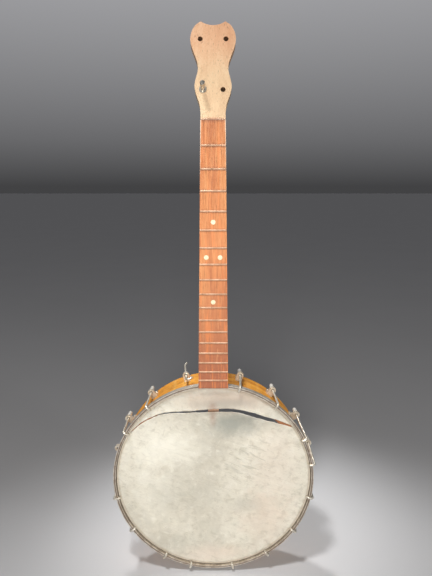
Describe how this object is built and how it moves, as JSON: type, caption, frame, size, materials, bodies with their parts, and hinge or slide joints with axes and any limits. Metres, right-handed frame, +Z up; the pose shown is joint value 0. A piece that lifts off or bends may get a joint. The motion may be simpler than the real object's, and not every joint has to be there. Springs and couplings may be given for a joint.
{
  "type": "banjo",
  "caption": "Open-back tenor banjo with a torn skin head, wood rim, hook-tightened metal hoop, fretted neck and a lobed peghead, stripped of strings.",
  "frame": {"origin": "lowest point of the rim's outer face, half way through the rim's depth, where a stand carries the pot", "axes": "+Z up the neck, -Y out of the skin head away from the player, +X to the right of a viewer facing the head"},
  "size_m": [0.2885, 0.1074, 0.7458],
  "materials": {
    "rim_maple": "amber varnish, worn",
    "dowel_maple": "bare, aged",
    "neck_wood": "stripped, bare",
    "fingerboard_wood": "dry, faded red brown",
    "calfskin": "aged calfskin, mottled",
    "nickel_plate": "worn nickel",
    "steel": "dull",
    "fret_metal": "nickel silver",
    "dot_celluloid": "pearly",
    "button_celluloid": "aged ivory colour"
  },
  "bodies": {
    "root": {"rim": "rim_maple", "flesh_hoop": "steel", "skin_head": "calfskin", "skin_tuck": "calfskin", "tension_hoop": "nickel_plate", "hooks": "nickel_plate", "bracket_shoes": "nickel_plate", "shoe_bolts": "nickel_plate", "shoe_washers": "steel", "shoe_nuts": "steel", "dowel_stick": "dowel_maple", "neck_brace": "steel", "brace_screw_left": "steel", "brace_screw_right": "steel", "tail_bolt": "steel", "tail_washer": "nickel_plate", "tail_nut": "nickel_plate", "neck": "neck_wood", "fingerboard": "fingerboard_wood", "frets": "fret_metal", "position_dots": "dot_celluloid", "peg_front_bushing": "nickel_plate", "peg_back_bushing": "nickel_plate"},
    "hook_nut_right_1_body": {"hook_nut_right_1": "nickel_plate"},
    "hook_nut_right_2_body": {"hook_nut_right_2": "nickel_plate"},
    "hook_nut_right_3_body": {"hook_nut_right_3": "nickel_plate"},
    "hook_nut_right_4_body": {"hook_nut_right_4": "nickel_plate"},
    "hook_nut_right_5_body": {"hook_nut_right_5": "nickel_plate"},
    "hook_nut_right_6_body": {"hook_nut_right_6": "nickel_plate"},
    "hook_nut_right_7_body": {"hook_nut_right_7": "nickel_plate"},
    "hook_nut_right_8_body": {"hook_nut_right_8": "nickel_plate"},
    "hook_nut_left_2_body": {"hook_nut_left_2": "nickel_plate"},
    "hook_nut_left_3_body": {"hook_nut_left_3": "nickel_plate"},
    "hook_nut_left_5_body": {"hook_nut_left_5": "nickel_plate"},
    "hook_nut_left_6_body": {"hook_nut_left_6": "nickel_plate"},
    "hook_nut_left_7_body": {"hook_nut_left_7": "nickel_plate"},
    "hook_nut_left_8_body": {"hook_nut_left_8": "nickel_plate"},
    "loose_hook_body": {"loose_hook": "nickel_plate"},
    "tuning_peg": {"peg_post": "nickel_plate", "peg_washer": "steel", "peg_button": "button_celluloid", "peg_screw": "steel"}
  },
  "joints": [
    {"name": "hook_nut_right_1_turn", "type": "hinge", "parent": "root", "child": "hook_nut_right_1_body", "pos_m": [0.03795, 0.02, 0.26974], "axis": [0, 1, 0], "continuous": true},
    {"name": "hook_nut_right_2_turn", "type": "hinge", "parent": "root", "child": "hook_nut_right_2_body", "pos_m": [0.08466, 0.02, 0.2469], "axis": [0, 1, 0], "continuous": true},
    {"name": "hook_nut_right_3_turn", "type": "hinge", "parent": "root", "child": "hook_nut_right_3_body", "pos_m": [0.11963, 0.02, 0.20941], "axis": [0, 1, 0], "continuous": true},
    {"name": "hook_nut_right_4_turn", "type": "hinge", "parent": "root", "child": "hook_nut_right_4_body", "pos_m": [0.13819, 0.02, 0.16557], "axis": [0, 1, 0], "continuous": true},
    {"name": "hook_nut_right_5_turn", "type": "hinge", "parent": "root", "child": "hook_nut_right_5_body", "pos_m": [0.1392, 0.02, 0.10483], "axis": [0, 1, 0], "continuous": true},
    {"name": "hook_nut_right_6_turn", "type": "hinge", "parent": "root", "child": "hook_nut_right_6_body", "pos_m": [0.11772, 0.02, 0.0535], "axis": [0, 1, 0], "continuous": true},
    {"name": "hook_nut_right_7_turn", "type": "hinge", "parent": "root", "child": "hook_nut_right_7_body", "pos_m": [0.07838, 0.02, 0.01449], "axis": [0, 1, 0], "continuous": true},
    {"name": "hook_nut_right_8_turn", "type": "hinge", "parent": "root", "child": "hook_nut_right_8_body", "pos_m": [0.02807, 0.02, -0.0063], "axis": [0, 1, 0], "continuous": true},
    {"name": "hook_nut_left_2_turn", "type": "hinge", "parent": "root", "child": "hook_nut_left_2_body", "pos_m": [-0.08936, 0.02, 0.24325], "axis": [0, 1, 0], "continuous": true},
    {"name": "hook_nut_left_3_turn", "type": "hinge", "parent": "root", "child": "hook_nut_left_3_body", "pos_m": [-0.12298, 0.02, 0.2039], "axis": [0, 1, 0], "continuous": true},
    {"name": "hook_nut_left_5_turn", "type": "hinge", "parent": "root", "child": "hook_nut_left_5_body", "pos_m": [-0.139, 0.02, 0.10386], "axis": [0, 1, 0], "continuous": true},
    {"name": "hook_nut_left_6_turn", "type": "hinge", "parent": "root", "child": "hook_nut_left_6_body", "pos_m": [-0.11772, 0.02, 0.0535], "axis": [0, 1, 0], "continuous": true},
    {"name": "hook_nut_left_7_turn", "type": "hinge", "parent": "root", "child": "hook_nut_left_7_body", "pos_m": [-0.07314, 0.02, 0.01118], "axis": [0, 1, 0], "continuous": true},
    {"name": "hook_nut_left_8_turn", "type": "hinge", "parent": "root", "child": "hook_nut_left_8_body", "pos_m": [-0.03363, 0.02, -0.00506], "axis": [0, 1, 0], "continuous": true},
    {"name": "loose_hook_slide", "type": "slide", "parent": "root", "child": "loose_hook_body", "axis": [0.0921, -0.9954, 0.0264], "range_m": [-0.009, 0.027]},
    {"name": "tuning_peg_turn", "type": "hinge", "parent": "root", "child": "tuning_peg", "pos_m": [-0.0126, -0.01831, 0.64873], "axis": [0, -0.9703, 0.2419], "continuous": true}
  ]
}
